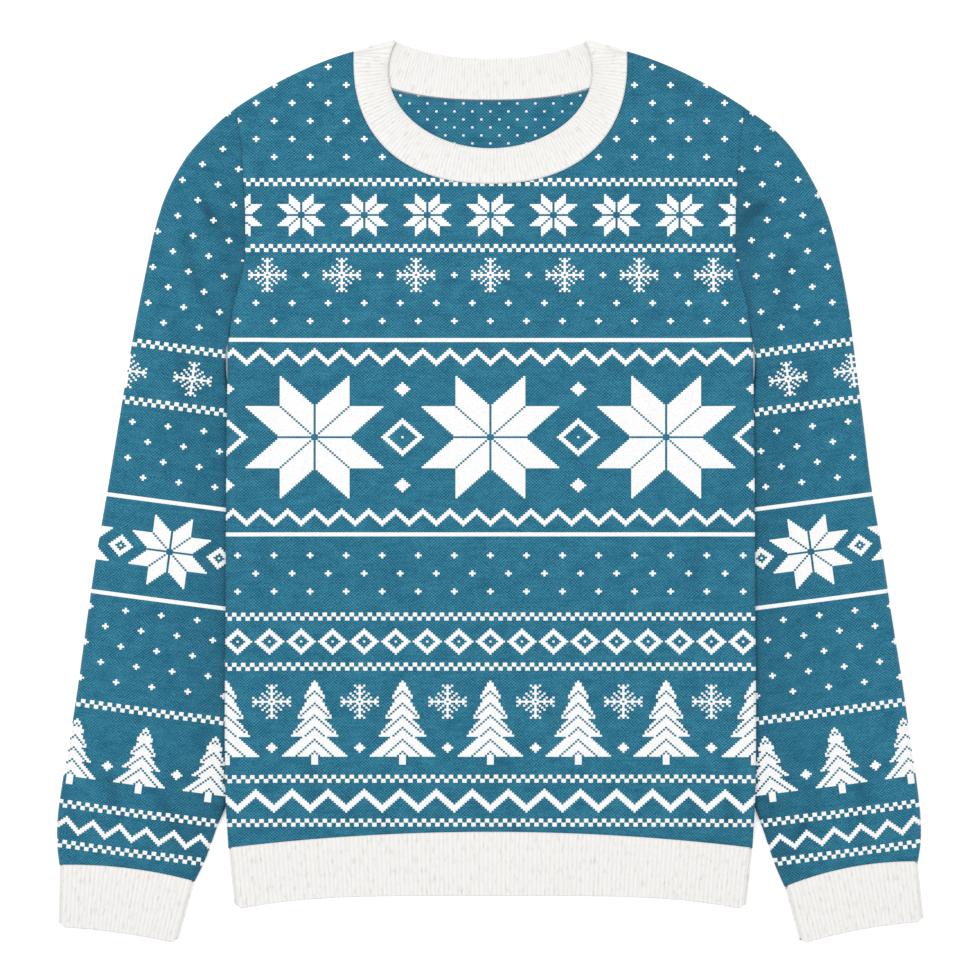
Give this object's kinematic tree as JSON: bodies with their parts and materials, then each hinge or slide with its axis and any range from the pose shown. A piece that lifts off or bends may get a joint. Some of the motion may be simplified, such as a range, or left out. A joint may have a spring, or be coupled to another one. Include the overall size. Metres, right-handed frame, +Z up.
{
  "type": "christmas sweater",
  "caption": "Crew-neck knitted jumper with long sleeves and ribbed neck, cuffs and hem, laid flat with its front up and its arms beside the body.",
  "frame": {"origin": "on the table under the middle of the garment's box", "axes": "+Y from the hem to the neck, +X to the viewer's right with the front up, +Z up from the table"},
  "size_m": [0.6934, 0.7222, 0.0106],
  "materials": {
    "ground_knit": "soft two-colour jacquard knit, teal with off-white motifs",
    "rib_knit": "soft ribbed knit, off-white"
  },
  "bodies": {
    "root": {"front_panel": "ground_knit", "back_panel": "ground_knit", "sleeve_left": "ground_knit", "sleeve_right": "ground_knit", "cuff_left": "rib_knit", "cuff_right": "rib_knit", "hem_rib": "rib_knit", "neckband": "rib_knit"}
  },
  "joints": []
}
